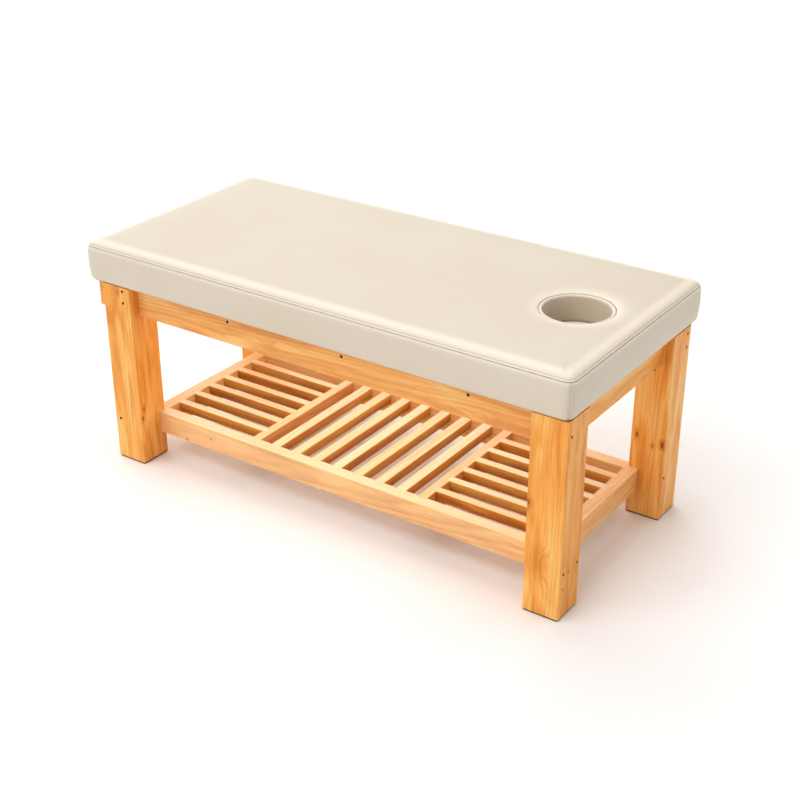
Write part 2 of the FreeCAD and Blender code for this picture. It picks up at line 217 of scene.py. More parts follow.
def new_material(name):
    """A material, and what adds nodes to its empty tree."""
    material = bpy.data.materials.new(name)
    material.use_nodes = True
    material.node_tree.nodes.clear()
    return material, partial(add_node, material.node_tree)


def finish_material(material, **shader):
    """Adds the shader with its values and links it to the output."""
    add = partial(add_node, material.node_tree)
    add("OutputMaterial", add("BsdfPrincipled", **shader))
    return material


def tinted(add, base, pattern, low, high):
    """A colour times a pattern that runs from low to high."""
    tint = add("MapRange", pattern, 0.0, 1.0, low, high)
    return add("VectorMath SCALE", base, Scale=tint)


def paint(obj, material):
    """Gives every face of a piece one material."""
    obj.data.materials.clear()
    obj.data.materials.append(material)


def knot_group():
    """How a knot bends the growth lines round it, and how dark it is.

    The distance to the knot is halved along the grain, which makes it an ellipse. The bend
    falls smoothly from the knot's radius at its middle to nothing at four radii, and the dark
    heart ends at one radius. A patch of resin is a knot whose heart is faint."""
    tree, add, given, out = node_group(
        "knot in pine", {"Vector": ("Point", "Place"), "Float": ("Radius", "Heart")},
        {"Float": ("Bend", "Dark", "Near")})
    radius = add("Math MAXIMUM", given["Radius"], 0.1 * MM)
    away = add("VectorMath SUBTRACT", given["Point"], given["Place"])
    oval = add("VectorMath MULTIPLY", away, (0.5, 1.0, 1.0))
    distance = add("VectorMath LENGTH", oval, out="Value")
    radii = add("Math DIVIDE", distance, radius)
    near = add("MapRange", radii, 4.0, 0.0, interpolation_type="SMOOTHERSTEP")
    bend = add("Math MULTIPLY", near, radius)
    dark = add("MapRange", radii, 1.15, 0.55, 0.0, given["Heart"], interpolation_type="SMOOTHSTEP")
    fill(tree, out, {"Bend": bend, "Dark": dark, "Near": near})
    return tree


KNOTS_PER_BOARD = 3


def pine_group():
    """Solid pine as a function of a point in its board.

    The point's first part runs along the grain. Growth lines are circles about a pith line
    that lies beside the board and leans a little, so that a face shows straight lines where it
    cuts them square and tall arches where it runs along them. Noise makes the lines wander,
    some years are darker than others, and knots bend the lines round them."""
    pine = settings("pine")
    knots = range(KNOTS_PER_BOARD)
    tree, add, given, out = node_group(
        "pine board",
        {"Vector": ["Point", "Half", "Pith", "Lean", "Shift", "Facing"]
                   + ["Knot %d" % k for k in knots],
         "Float": ["Tone", "Sapwood", "Sawn"] + ["Radius %d" % k for k in knots]
                  + ["Heart %d" % k for k in knots]},
        {"Color": ["Colour"], "Float": ["Height", "Roughness"]})
    point, shift = given["Point"], given["Shift"]

    # The growth lines stray slowly along the board
    slow = add("VectorMath MULTIPLY_ADD", point, (2.2, 9.0, 9.0), shift)
    stray = add("TexNoise", slow, Scale=1.0, Detail=2.0, out="Color")
    strayed = add("VectorMath MULTIPLY_ADD", stray, (2 * pine.wander,) * 3, point)

    # Distance from the leaning pith line
    along = add("SeparateXYZ", point)
    lean = add("VectorMath SCALE", given["Lean"], Scale=along)
    pith = add("VectorMath ADD", given["Pith"], lean)
    across = add("VectorMath SUBTRACT", strayed, pith)
    flat = add("VectorMath MULTIPLY", across, (0.0, 1.0, 1.0))
    radius = add("VectorMath LENGTH", flat, out="Value")

    # Knots push the lines aside
    group = knot_group()
    dark = resin = 0.0
    for k in knots:
        knot = add("Group", node_tree=group, Point=point, Place=given["Knot %d" % k],
                   Radius=given["Radius %d" % k], Heart=given["Heart %d" % k]).node.outputs
        radius = add("Math MULTIPLY_ADD", knot["Bend"], 1.8, radius)
        dark = add("Math MAXIMUM", knot["Dark"], dark)
        resin = add("Math MAXIMUM", knot["Near"], resin)

    # Years: a slow rise to the dark late wood, then a quick drop
    years = add("Math DIVIDE", radius, pine.ring_spacing)
    late = add("ValToRGB", add("Math FRACT", years))
    stops = late.node.color_ramp.elements
    for place, value in ((0.35, 0.12), (0.72, 0.85), (0.86, 1.0)):
        stops.new(place).color = (value, value, value, 1.0)
    stops[0].color = stops[-1].color = (0.0, 0.0, 0.0, 1.0)
    seasons = add("Math MULTIPLY", years, 0.31)
    season = add("TexNoise", W=seasons, Scale=1.0, Detail=1.0, noise_dimensions="1D")
    strength = add("MapRange", season, 0.3, 0.7, 0.05, 0.4)
    line = add("Math MULTIPLY", late, strength)

    # Broad patches of deeper and paler wood, and fine streaks along the fibres
    broad = add("VectorMath MULTIPLY_ADD", strayed, (3.0, 22.0, 22.0), shift)
    patches = add("TexNoise", broad, Scale=1.0, Detail=3.0, Roughness=0.55, Distortion=0.9)
    patch = add("MapRange", patches, 0.35, 0.65, -0.4, 0.44)
    toned = add("Math ADD", patch, given["Tone"])
    deep = add("Math MULTIPLY_ADD", resin, 0.5, toned, use_clamp=True)
    fine = 1 / pine.fibre_width
    narrow = add("VectorMath MULTIPLY_ADD", strayed, (fine / 60, fine, fine), shift)
    fibres = add("TexNoise", narrow, Scale=1.0, Detail=3.0)
    fibre = add("MapRange", fibres, 0.3, 0.7, 0.9, 1.06)

    # Colour, from the early wood outwards
    tones = add("ValToRGB", deep)
    tones.node.color_ramp.elements.new(0.5)
    for stop, tone in zip(tones.node.color_ramp.elements, (pine.pale, pine.honey, pine.amber)):
        stop.color = (*tone, 1.0)
    facing = add("SeparateXYZ", given["Facing"]).node.outputs
    # Painted light: faces that look upwards take up to nearly twice the pale sapwood, so that the
    # tops are paler
    painted_top_light = add("MapRange", facing["Z"], 0.5, 0.9, 1.0, 1.9)
    pale = add("Math MULTIPLY", given["Sapwood"], painted_top_light, use_clamp=True)
    early = add("MixRGB", pale, tones, pine.sapwood)
    ringed = add("MixRGB", line, early, pine.late)
    streaked = add("VectorMath SCALE", ringed, Scale=fibre)
    knotted = add("MixRGB", dark, streaked, pine.knot)

    # Side faces get painted shade, darker towards their lower edge, cut ends are darker, and the
    # rubbed arrises are paler, partly as a painted highlight
    side = add("MapRange", facing["Z"], 0.9, 0.5, 0.0, given["Sawn"])
    up = add("SeparateXYZ", point, out="Z")
    half_up = add("SeparateXYZ", given["Half"], out="Z")
    level = add("Math DIVIDE", up, half_up)
    gathered = add("Math MULTIPLY_ADD", level, -0.5, patches, use_clamp=True)
    varnish = add("MixRGB", gathered, pine.sawn, pine.painted_low_shade)
    sawn = add("MixRGB", side, knotted, varnish, blend_type="MULTIPLY")
    turned = add("Math ABSOLUTE", facing["X"])
    end = add("MapRange", turned, 0.5, 0.9, 0.0, 0.6, interpolation_type="SMOOTHSTEP")
    ended = add("MixRGB", end, sawn, pine.end)
    size = add("VectorMath ABSOLUTE", point)
    inside = add("VectorMath SUBTRACT", given["Half"], size)
    depth = add("SeparateXYZ", inside).node.outputs
    far_side = add("Math MAXIMUM", depth["Y"], depth["Z"])
    # The arrises are paler: partly rubbed varnish, partly a painted highlight along the edges
    arris = add("MapRange", far_side, pine.arris_width, 0.0, 0.0, 0.35,
                interpolation_type="SMOOTHSTEP")
    worn_and_highlit = add("Math MULTIPLY", arris, fibres)
    rubbed = add("MixRGB", worn_and_highlit, ended, pine.pale)

    # Late wood stands a little proud under the varnish, which is duller on the arrises
    height = add("Math MULTIPLY_ADD", line, 0.6, fibres)
    rough = add("Math MULTIPLY_ADD", fibres, 0.22, 0.26)
    duller = add("Math MULTIPLY_ADD", arris, 0.5, rough)
    fill(tree, out, {"Colour": rubbed, "Height": height, "Roughness": duller})
    return tree


# Knots that show on single boards: shares of the board's box for their places, radii in mm
# and how dark their hearts are
KNOTS = {
    "leg_foot_near": ((1.0, 0.10, 0.26, 5.0, 0.55), (1.0, 0.16, 0.31, 3.5, 0.4),
                      (0.55, 0.0, 0.97, 4.0, 0.3)),
    "leg_head_near": ((0.42, 0.0, 0.26, 13.0, 0.1), (0.05, 0.0, 0.56, 5.0, 0.6),
                      (1.0, 0.45, 0.22, 3.0, 0.3)),
    "leg_head_far": ((0.17, 0.0, 0.44, 5.0, 0.6), (0.64, 0.0, 0.40, 4.0, 0.4),
                     (0.92, 0.0, 0.42, 6.0, 0.75)),
    "side_rail_near": ((0.906, 0.35, 0.12, 11.0, 0.2), (0.42, 0.30, 0.35, 9.0, 0.1)),
    "end_rail_head": ((1.0, 0.80, 0.02, 4.0, 0.8),),
    "shelf_rail_near": ((0.10, 0.0, 0.10, 3.0, 0.5), (0.17, 0.0, 0.52, 2.5, 0.4)),
    "side_rail_far": ((0.30, 1.0, 0.60, 7.0, 0.8),),
    "leg_foot_far": ((0.30, 1.0, 0.52, 8.0, 0.8), (0.0, 0.4, 0.25, 5.0, 0.6)),
    "shelf_rail_far": ((0.66, 1.0, 0.55, 6.0, 0.7),),
}
# Metres from any board, for the knots that a board doesn't have
FAR_AWAY = (9, 9, 9)


def board_names():
    """The nodes of the frame that are boards, apart from the foot pads, the plug and the screws.
    """
    others = ("foot_pad", "leg_plug")
    return [name for name in sorted(frame["record"]["behaviour"]["bodies"]["frame"])
            if not name.startswith(others) and not name.endswith("screws")]


def sapwood_share(name, draw):
    """How much of a board is pale sapwood: the shelf's boards much, the legs hardly any."""
    if "slat" in name or name.startswith("shelf"):
        return draw.uniform(0.35, 0.57) * (0.85 if "rail" in name else 1.0)
    return 0.2 if name.startswith("side_rail") else 0.08


def pine_material(name, group, draw):
    """Clear-varnished pine, dressed smooth with eased edges: honey early wood with darker growth
    lines. Upward faces are painted paler as painted light, and the sides of the slats and cross
    rails darker as painted shade.

    The satin varnish is a thin smooth coat over wood whose grain still shows in the gloss."""
    low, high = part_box(name)
    sides = [high[k] - low[k] for k in range(3)]
    along = sides.index(max(sides))
    order = [along] + [k for k in range(3) if k != along]
    centre = [(low[k] + high[k]) / 2 for k in range(3)]
    half = [sides[k] / 2 for k in order]
    material, add = new_material("varnished pine, " + name)
    place = add("TexCoord").node.outputs
    centred = add("VectorMath SUBTRACT", place["Object"], centre)
    angle = draw.uniform(0, 2 * math.pi)
    reach = max(half[1:]) + draw.uniform(15, 90) * MM
    values = {
        "Half": half,
        "Pith": (0, reach * math.cos(angle), reach * math.sin(angle)),
        "Lean": (0, draw.uniform(-0.05, 0.05), draw.uniform(-0.05, 0.05)),
        "Shift": draw.uniform(-90, 90, 3),
        "Tone": draw.uniform(0.25, 0.6),
        "Sapwood": sapwood_share(name, draw),
        # How much painted shade darkens the side faces: much on the slats, some on the cross
        # rails, none elsewhere
        "Sawn": 0.9 if "slat" in name else 0.5 if "cross" in name else 0.0,
    }
    for target, source in (("Point", centred), ("Facing", place["Normal"])):
        parts = add("SeparateXYZ", source).node.outputs
        values[target] = add("CombineXYZ", *(parts[k] for k in order))
    for number in range(KNOTS_PER_BOARD):
        values["Knot %d" % number] = FAR_AWAY
    for number, (*shares, radius, heart) in enumerate(KNOTS.get(name, ())):
        knot = [low[k] + sides[k] * shares[k] - centre[k] for k in range(3)]
        values["Knot %d" % number] = [knot[k] for k in order]
        values["Radius %d" % number] = radius * MM
        values["Heart %d" % number] = heart
    wood = add("Group", node_tree=group, **values).node.outputs
    bump = add("Bump", Strength=0.35, Distance=settings("pine").grain_depth, Height=wood["Height"])
    return finish_material(material, Base_Color=wood["Colour"], Roughness=wood["Roughness"],
                           IOR=1.5, Specular_IOR_Level=0.2, Coat_Weight=0.08,
                           Coat_Roughness=0.15, Normal=bump)


class BED_OT_boards(bpy.types.Operator):
    """Gives every board of the frame its own piece of varnished pine"""
    bl_idname = "bed.boards"
    bl_label = "Varnish the pine boards"

    def execute(self, context):
        group = pine_group()
        draw = np.random.default_rng(41)
        for name in board_names():
            paint(frame["nodes"][name], pine_material(name, group, draw))
        return {"FINISHED"}


def add_object(name, data):
    """An object in the scene with a mesh, light or camera."""
    obj = bpy.data.objects.new(name, data)
    bpy.context.scene.collection.objects.link(obj)
    return obj


def mesh_object(name, points, faces):
    """An object in the scene with a mesh of points and faces."""
    mesh = bpy.data.meshes.new(name)
    mesh.from_pydata(points, [], faces)
    mesh.update()
    return add_object(name, mesh)


def remove(obj):
    """Takes an object and its mesh out of the scene."""
    mesh = obj.data
    bpy.data.objects.remove(obj)
    bpy.data.meshes.remove(mesh)


def read(items, name, width=3, kind=float):
    """One value of every item of a mesh, as rows."""
    values = np.zeros(len(items) * width, dtype=kind)
    items.foreach_get(name, values)
    return values.reshape(-1, width)


def evaluated(obj):
    """The mesh of an object with its modifiers at work."""
    return obj.evaluated_get(bpy.context.evaluated_depsgraph_get()).to_mesh()


def new_piece(name, points, faces, body, material):
    """A smooth piece with its place in its mesh, which rides on a body."""
    obj = mesh_object(name, points, faces)
    obj.data.polygons.foreach_set("use_smooth", np.ones(len(obj.data.polygons), dtype=bool))
    paint(obj, material)
    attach(obj, body)
    return obj


def weld(obj):
    """Merges doubled points, as where rings close to a pole, and turns all faces outwards."""
    work = bmesh.new()
    work.from_mesh(obj.data)
    bmesh.ops.remove_doubles(work, verts=work.verts, dist=0.001 * MM)
    bmesh.ops.dissolve_degenerate(work, edges=work.edges, dist=0.0005 * MM)
    bmesh.ops.recalc_face_normals(work, faces=work.faces)
    work.to_mesh(obj.data)
    work.free()
    obj.data.update()


def strip_faces(rows, count):
    """Quads between closed rows of equal length, numbered row by row."""
    k = np.arange(count)
    after = (k + 1) % count
    row = np.arange(rows - 1)[:, None] * count
    return np.stack([row + k, row + after, row + count + after, row + count + k],
                    axis=-1).reshape(-1, 4)


def repeated(faces, copies, step):
    """The faces of one shape, numbered anew for each of its copies."""
    return (faces + step * np.arange(copies)[:, None, None]).reshape(-1, faces.shape[1])


def steel_material():
    """Phosphated screw steel, rolled and oiled: nearly black, with a soft metal shine."""
    material, add = new_material("phosphated screw steel")
    place = add("TexCoord", out="Object")
    mottle = add("TexNoise", place, Scale=900.0, Detail=2.0)
    rough = add("MapRange", mottle, 0.0, 1.0, 0.3, 0.55)
    base = tinted(add, settings("fixing").steel, mottle, 0.75, 1.25)
    return finish_material(material, Base_Color=base, Metallic=0.6, Roughness=rough)


def rubber_material():
    """Brown rubber sheet, cut and glued under the legs: dull, with a fine speckle."""
    material, add = new_material("brown foot rubber")
    place = add("TexCoord", out="Object")
    speck = add("TexNoise", place, Scale=420.0, Detail=4.0)
    base = tinted(add, settings("fixing").rubber, speck, 0.6, 1.4)
    bump = add("Bump", Strength=0.3, Distance=0.2 * MM, Height=speck)
    return finish_material(material, Base_Color=base, Roughness=0.9, Specular_IOR_Level=0.2,
                           Normal=bump)


def plug_material():
    """Birch plug, turned across the grain: darker than the leg, with fine end-grain rings."""
    pine = settings("pine")
    low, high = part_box("leg_plug")
    material, add = new_material("varnished birch plug")
    place = add("TexCoord", out="Object")
    centred = add("Mapping", place, Location=-(low + high) / 2, vector_type="POINT")
    rings = add("TexWave", centred, Scale=180.0, Distortion=2.0, out="Fac",
                wave_type="RINGS", rings_direction="X")
    base = add("MixRGB", rings, pine.late, pine.end)
    return finish_material(material, Base_Color=base, Roughness=0.4, Coat_Weight=0.2,
                           Coat_Roughness=0.15)


SCREW_SIDES = 40
# Rings on the face of a screw head, as shares of its radius
HEAD_RINGS = np.array([0.0, 0.12, 0.25, 0.4, 0.52, 0.64, 0.8, 0.95])
SCREW_RINGS = len(HEAD_RINGS) + 4


def screw_points(seat, inward, reach, head, shank, turn):
    """A countersunk screw about the line from seat along inward.

    Rings of one profile are turned about that line: the face of the head, its cone, the shank
    and the point. On the face, a ring's depth grows where the cross of two bars covers it, and
    the bars fade towards the rim, which presses in the cross recess."""
    fixing = settings("fixing")
    cone = head - shank
    radii = np.concatenate([head * HEAD_RINGS, [head, shank, shank, 0.0]])
    depths = np.concatenate([0.05 * MM * (1 - HEAD_RINGS ** 2),
                             [0.1 * MM, cone, reach - cone, reach]])
    spin = 2 * math.pi * np.arange(SCREW_SIDES) / SCREW_SIDES
    radius, depth = (values[:, None] * np.ones(SCREW_SIDES) for values in (radii, depths))
    arm = np.minimum(np.abs(radius * np.cos(spin)), np.abs(radius * np.sin(spin)))
    cross = (1 / (1 + (arm / (fixing.recess_width / 2)) ** 6)
             * np.clip((0.72 - radius / head) * 5, 0, 1))
    face = np.arange(SCREW_RINGS)[:, None] < len(HEAD_RINGS)
    depth = depth + np.where(face, cross * fixing.recess_depth, 0)
    side = inward.cross(Vector((0, 0, 1))).normalized()
    angle = (spin + turn)[:, None]
    around = np.cos(angle) * np.array(side) + np.sin(angle) * np.array(inward.cross(side))
    points = np.array(seat) + radius[..., None] * around + depth[..., None] * np.array(inward)
    return points.reshape(-1, 3)


def screw_places(node):
    """Seat, inward direction, length, head radius and shank radius of each screw of a node.

    Corners in one place get one number, and each triangle's corners take the lowest number
    among them again and again, until every screw has one number of its own."""
    mesh = frame["nodes"][node].data
    points = read(mesh.vertices, "co")
    triangles = read(mesh.loops, "vertex_index", 1, int).reshape(-1, 3)
    keys = np.round(points / (0.01 * MM)).astype(int)
    same = np.unique(keys, axis=0, return_inverse=True)[1].reshape(-1)
    corners = same[triangles]
    label = np.arange(same.max() + 1)
    before = None
    while not np.array_equal(before, label):
        before = label.copy()
        lowest = label[corners].min(axis=1)
        for k in range(3):
            np.minimum.at(label, corners[:, k], lowest)
    found = []
    for part in np.unique(label):
        cloud = points[label[same] == part]
        low, high = cloud.min(axis=0), cloud.max(axis=0)
        axis = int(np.argmax(high - low))
        middle = (low + high) / 2
        across = np.linalg.norm(np.delete(cloud - middle, axis, axis=1), axis=1)
        at_low = across[cloud[:, axis] < low[axis] + 0.1 * MM].max()
        at_high = across[cloud[:, axis] > high[axis] - 0.1 * MM].max()
        seat, inward = middle.copy(), Vector([0, 0, 0])
        seat[axis] = low[axis] if at_low > at_high else high[axis]
        inward[axis] = 1 if at_low > at_high else -1
        found.append((seat, inward, high[axis] - low[axis], max(at_low, at_high),
                      min(at_low, at_high)))
    return found


class BED_OT_fixings(bpy.types.Operator):
    """Makes the screws with their cross recesses, and finishes the plug and the foot pads"""
    bl_idname = "bed.fixings"
    bl_label = "Make the screws and pads"

    def execute(self, context):
        steel, rubber = steel_material(), rubber_material()
        draw = np.random.default_rng(8)
        quads = strip_faces(SCREW_RINGS, SCREW_SIDES)
        for name, node in sorted(frame["nodes"].items()):
            if name.endswith("screws"):
                screws = [screw_points(*place, draw.uniform(0, math.pi))
                          for place in screw_places(name)]
                faces = repeated(quads, len(screws), SCREW_RINGS * SCREW_SIDES)
                piece = new_piece("cross_" + name, np.concatenate(screws), faces, "frame",
                                  steel)
                weld(piece)
                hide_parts(name)
            elif name.startswith("foot_pad"):
                paint(node, rubber)
        paint(frame["nodes"]["leg_plug"], plug_material())
        return {"FINISHED"}


# Cells of the mattress top: along, across and in one arm of a corner
CELLS_LONG = 140
CELLS_WIDE = 64
CELLS_CORNER = 6
GRID_LONG = CELLS_LONG + 2 * CELLS_CORNER
GRID_WIDE = CELLS_WIDE + 2 * CELLS_CORNER
# Round the face hole, the square ring HOLE_CELLS is a circle, and the ring HOLE_REACH a square
HOLE_CELLS = 11
HOLE_REACH = 16
HOLE_MARGIN = 10 * MM
# From the hole's seam in to its wall. Below a power of 1, that roll is fuller than a quarter
# circle
COLLAR_WIDTH = 12 * MM
COLLAR_POWER = 0.55
INNER_INSET = 45 * MM
INNER_RADIUS = 16 * MM
CLOTH_FRAMES = 20
EASING_PASSES = 24


def bell(distance, width):
    """A bell curve of a distance, with its width in millimetres."""
    return np.exp(-(distance / (width * MM)) ** 2)


def fade(distance, reach):
    """Falls as an exponential of a distance, with its reach in millimetres."""
    return np.exp(-distance / (reach * MM))


def rounded_place(i, j, half_long, half_wide, radius):
    """A point of a grid that fills a rounded rectangle.

    Between the corners the grid is even. In a corner, a square with sides p and q from 0 to 1
    becomes a quarter disc: p times the root of 1 - q squared / 2, and q the same with p."""
    def split(k, middle):
        even = np.clip((k - CELLS_CORNER) / middle, 0, 1) * 2 - 1
        past = np.clip(k - CELLS_CORNER - middle, 0, CELLS_CORNER)
        before = np.clip(CELLS_CORNER - k, 0, CELLS_CORNER)
        return even, (past - before) / CELLS_CORNER
    even_x, p = split(i, CELLS_LONG)
    even_y, q = split(j, CELLS_WIDE)
    x = (half_long - radius) * even_x + radius * p * np.sqrt(1 - q ** 2 / 2)
    y = (half_wide - radius) * even_y + radius * q * np.sqrt(1 - p ** 2 / 2)
    return x, y


def rim_loop():
    """Grid numbers of the rim, anticlockwise from the corner at the foot end's near side."""
    long, wide = GRID_LONG, GRID_WIDE
    i = np.concatenate([np.arange(long), np.full(wide, long), np.arange(long, 0, -1),
                        np.zeros(wide, dtype=int)])
    j = np.concatenate([np.zeros(long, dtype=int), np.arange(wide), np.full(long, wide),
                        np.arange(wide, 0, -1)])
    return i, j


class Mattress:
    """The sizes of the mattress, read from the frame and the cover's settings."""

    def __init__(self):
        cover = settings("cover")
        low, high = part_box("cover_border")
        self.half_long, self.half_wide, self.seam = high
        self.under = low.z + 0.3 * MM
        self.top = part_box("cover_top_panel")[1].z
        ring_low, ring_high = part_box("cover_hole_lining")
        self.hole_x = (ring_low.x + ring_high.x) / 2
        self.ring = (ring_high.x - ring_low.x) / 2
        self.wall = self.ring - COLLAR_WIDTH
        self.rise = self.top - self.seam - cover.crown - 0.7 * cover.swell


def top_height(bed, cover, inset, x, y):
    """Height of the cover's top over a point.

    A quarter ellipse rises from the seam over the roll, a smooth crown adds to it inwards,
    and the surface dips towards the face hole as a falling exponential of the distance."""
    share = np.clip(inset / cover.roll_width, 0, 1)
    roll = bed.rise * np.sqrt(1 - (1 - share) ** 2)
    inwards = np.clip(inset / (90 * MM), 0, 1)
    crown = cover.crown * inwards ** 2 * (3 - 2 * inwards)
    away = np.hypot(x - bed.hole_x, y) - bed.ring
    return bed.seam + roll + crown - cover.hole_dip * fade(np.clip(away, 0, None), 28)


def roll_insets(bed, cover, arcs):
    """Insets on the roll that lie at given distances along its quarter ellipse."""
    angle = np.linspace(0, math.pi / 2, 400)
    inset = cover.roll_width * (1 - np.cos(angle))
    rise = bed.rise * np.sin(angle)
    run = np.concatenate([[0], np.cumsum(np.hypot(np.diff(inset), np.diff(rise)))])
    return np.interp(arcs, run, inset)


def rim_rows(bed, cover, stitch):
    """Rows of the cover from under the board up to the inner grid: inset and height.

    A row's height is None where the top's own height rules. Rows lie close together beside
    the seam and the topstitch. Also returns how many rows the border has and which row the
    topstitch follows."""
    low, turn = bed.under, cover.bottom_turn
    rows = [(cover.flap_width, low), (cover.flap_width / 2, low)]
    for angle in np.linspace(0, math.pi / 2, 5):
        rows.append((turn * (1 - math.sin(angle)), low + turn * (1 - math.cos(angle))))
    wall = bed.seam - low - turn
    for share in (0.08, 0.2, 0.33, 0.46, 0.58, 0.7, 0.8, 0.88):
        rows.append((-cover.bulge * math.sin(math.pi * share), low + turn + wall * share))
    for below, share in ((7.0, 0.0), (4.0, 0.04), (2.2, 0.18), (1.0, 0.55), (0.0, 1.0)):
        out = cover.bulge * math.sin(math.pi * below * MM / wall)
        rows.append((cover.seam_depth * share - out, bed.seam - below * MM))
    border_rows = len(rows)
    edge = stitch.edge / MM
    arcs = [1.2, 2.6, 4.6, edge - 1.3, edge, edge + 1.3, 11.5, 15, 19, 24, 30, 36]
    insets = [*roll_insets(bed, cover, np.array(arcs) * MM), 39 * MM, INNER_INSET]
    rows += [(inset, None) for inset in insets]
    return rows, border_rows, border_rows + arcs.index(edge)


def eased(move, faces, held, passes):
    """Evens out the moves of the points: each becomes the mean of its own and its neighbours'."""
    ends = np.concatenate([faces[:, [k, (k + 1) % 4]] for k in range(4)])
    ends = np.concatenate([ends, ends[:, ::-1]])
    share = np.bincount(ends[:, 0], minlength=len(move)) + 1
    for _ in range(passes):
        total = move.copy()
        for k in range(3):
            total[:, k] += np.bincount(ends[:, 0], move[ends[:, 1], k], minlength=len(move))
        move = total / share[:, None]
        move[held] = 0
    return move


def rim_distance(bed, radius, x, y):
    """Distance inwards from the rounded outline of the mattress."""
    qx = np.abs(x) - (bed.half_long - radius)
    qy = np.abs(y) - (bed.half_wide - radius)
    outside = np.hypot(np.maximum(qx, 0), np.maximum(qy, 0))
    return radius - outside - np.minimum(np.maximum(qx, qy), 0)


def corner_seam_distance(bed, radius, x, y):
    """Distance along the outline from the seam in the middle of the nearest corner."""
    dx = np.abs(x) - (bed.half_long - radius)
    dy = np.abs(y) - (bed.half_wide - radius)
    turn = np.arctan2(np.maximum(dy, 0), np.maximum(dx, 0)) - math.pi / 4
    return radius * np.abs(turn) + np.maximum(-dx, 0) + np.maximum(-dy, 0)


def hole_profile(bed, cover):
    """Rows round the face hole: on the top, over its mouth, down its wall and past the ledge.

    The roll over the mouth is a quarter of a superellipse, and the ledge rises in its middle
    as half a sine. Returns radii and heights, with None where the top's own height rules, and
    the numbers of the two rows that are seams."""
    ring_height = float(top_height(bed, cover, 1.0, bed.hole_x + bed.ring, 0.0))
    rows = [(bed.ring + out * MM, None) for out in (7.5, 5.0, 3.0, 1.5)]
    seam_row = len(rows)
    rows.append((bed.ring, ring_height - cover.seam_depth))
    turn = bed.ring - bed.wall
    for roll in np.linspace(0.12, 1.0, 9) * math.pi / 2:
        rows.append((bed.wall + turn * (1 - math.sin(roll) ** COLLAR_POWER),
                     ring_height - turn * (1 - math.cos(roll) ** COLLAR_POWER)))
    wall_top = ring_height - turn
    ledge = bed.top - cover.ledge_depth
    corner = 3 * MM
    for down in np.linspace(0, 1, 6)[1:]:
        rows.append((bed.wall, wall_top + (ledge + corner - wall_top) * down))
    ledge_row = len(rows)
    rows.append((bed.wall - 0.4 * corner, ledge + 0.2 * corner))
    for inwards in (0.15, 0.4, 0.65, 0.85):
        rows.append((bed.wall - cover.ledge_width * inwards,
                     ledge + 2 * MM * math.sin(math.pi * inwards)))
    shaft = bed.wall - cover.ledge_width
    rows.append((shaft + 0.3 * corner, ledge - 0.3 * corner))
    for down in (0.06, 0.35, 0.7, 0.9, 1.0):
        rows.append((shaft, ledge + (bed.under - ledge) * down))
    return rows, seam_row, ledge_row


